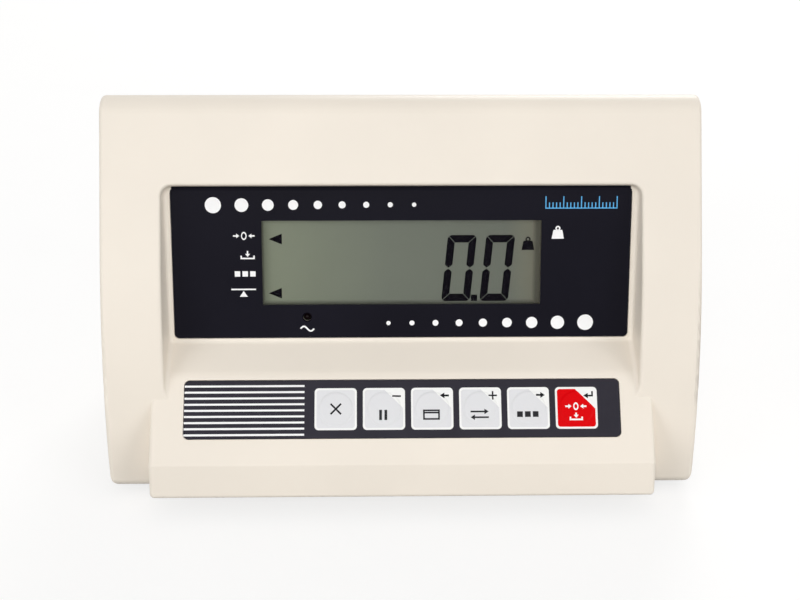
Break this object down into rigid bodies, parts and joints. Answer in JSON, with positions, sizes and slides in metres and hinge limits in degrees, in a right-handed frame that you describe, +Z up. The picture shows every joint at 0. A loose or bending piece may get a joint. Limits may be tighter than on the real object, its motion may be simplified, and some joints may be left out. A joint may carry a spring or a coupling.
{
  "type": "weighing scale indicator",
  "caption": "Weighing-scale indicator head: sloped ivory housing with a sunken LCD bay, a membrane keypad console, battery door and rear sockets.",
  "frame": {"origin": "centre of the head's footprint, on the surface that its feet stand on", "axes": "+X to the right as the user sees it, +Y to the back, +Z up"},
  "size_m": [0.25, 0.1209, 0.1546],
  "materials": {
    "ivory_plastic": "fine satin moulded plastic",
    "steel": "zinc-plated",
    "label_print": "satin printed sheet",
    "clear_lens": "clear",
    "lcd": "grey-green display",
    "diffuser": "milky",
    "black_plastic": "satin",
    "circuit_board": "solder mask",
    "chip_black": "moulded",
    "capacitor_sleeve": "shrunk sleeve",
    "connector_nylon": "nylon",
    "lamp_lens": "dark lens, unlit",
    "keypad_film": "film",
    "keypad_print": "satin printed sheet",
    "red_key": "satin printed sheet",
    "core_steel": "varnished sheet",
    "coil_tape": "tape",
    "battery_case": "moulded",
    "tin_plate": "tinned",
    "fuse_glass": "clear with plated ends",
    "rocker_red": "polished",
    "nickel": "nickel-plated",
    "foot_rubber": "matt",
    "brass_insert": "knurled"
  },
  "bodies": {
    "housing": {"front_cover": "ivory_plastic", "rear_cover": "ivory_plastic", "cover_screws": "steel", "display_label": "label_print", "display_window": "clear_lens", "lcd_glass": "lcd", "backlight": "diffuser", "lcd_frame": "black_plastic", "main_board": "circuit_board", "board_screws": "steel", "board_chips": "chip_black", "board_capacitors": "capacitor_sleeve", "board_connectors": "connector_nylon", "buzzer": "chip_black", "mains_lamp": "lamp_lens", "keypad_circuit": "keypad_film", "keypad_spacer": "keypad_film", "keypad_overlay": "keypad_print", "keypad_tail": "keypad_film", "transformer_core": "core_steel", "transformer_coil": "coil_tape", "transformer_screws": "steel", "battery": "battery_case", "battery_terminals": "tin_plate", "battery_tray": "black_plastic", "tray_screws": "steel", "door_hinge_pin": "steel", "mains_inlet": "black_plastic", "inlet_pins": "tin_plate", "inlet_screws": "steel", "fuse_holder": "black_plastic", "fuse": "fuse_glass", "switch_body": "black_plastic", "load_cell_socket": "nickel", "socket_insert": "black_plastic", "socket_contacts": "tin_plate", "socket_nut": "nickel", "rubber_feet": "foot_rubber", "foot_screws": "steel", "plate_inserts": "brass_insert"},
    "key_clear": {"key_clear": "keypad_print"},
    "key_minus": {"key_minus": "keypad_print"},
    "key_left": {"key_left": "keypad_print"},
    "key_plus": {"key_plus": "keypad_print"},
    "key_right": {"key_right": "keypad_print"},
    "key_enter": {"key_enter": "red_key"},
    "fuse_cap": {"fuse_cap": "black_plastic"},
    "switch_rocker": {"switch_rocker": "rocker_red"},
    "battery_door": {"battery_door": "ivory_plastic"}
  },
  "joints": [
    {"name": "key_clear_press", "type": "slide", "parent": "housing", "child": "key_clear", "axis": [0, 0.7349, -0.6782], "range_m": [0, 0.00045], "stiffness_N_per_m": 2500, "springref_m": -0.0002},
    {"name": "key_minus_press", "type": "slide", "parent": "housing", "child": "key_minus", "axis": [0, 0.7349, -0.6782], "range_m": [0, 0.00045], "stiffness_N_per_m": 2500, "springref_m": -0.0002},
    {"name": "key_left_press", "type": "slide", "parent": "housing", "child": "key_left", "axis": [0, 0.7349, -0.6782], "range_m": [0, 0.00045], "stiffness_N_per_m": 2500, "springref_m": -0.0002},
    {"name": "key_plus_press", "type": "slide", "parent": "housing", "child": "key_plus", "axis": [0, 0.7349, -0.6782], "range_m": [0, 0.00045], "stiffness_N_per_m": 2500, "springref_m": -0.0002},
    {"name": "key_right_press", "type": "slide", "parent": "housing", "child": "key_right", "axis": [0, 0.7349, -0.6782], "range_m": [0, 0.00045], "stiffness_N_per_m": 2500, "springref_m": -0.0002},
    {"name": "key_enter_press", "type": "slide", "parent": "housing", "child": "key_enter", "axis": [0, 0.7349, -0.6782], "range_m": [0, 0.00045], "stiffness_N_per_m": 2500, "springref_m": -0.0002},
    {"name": "switch_rock", "type": "hinge", "parent": "housing", "child": "switch_rocker", "pos_m": [-0.022, 0.0475, 0.09], "axis": [1, 0, 0], "range_deg": [-16, 0]},
    {"name": "fuse_cap_turn", "type": "hinge", "parent": "housing", "child": "fuse_cap", "pos_m": [0.014, 0.0475, 0.09], "axis": [0, 1, 0], "range_deg": [0, 90]},
    {"name": "battery_door_hinge", "type": "hinge", "parent": "housing", "child": "battery_door", "pos_m": [0, 0.0575, 0.013], "axis": [-1, 0, 0], "range_deg": [0, 90]}
  ]
}
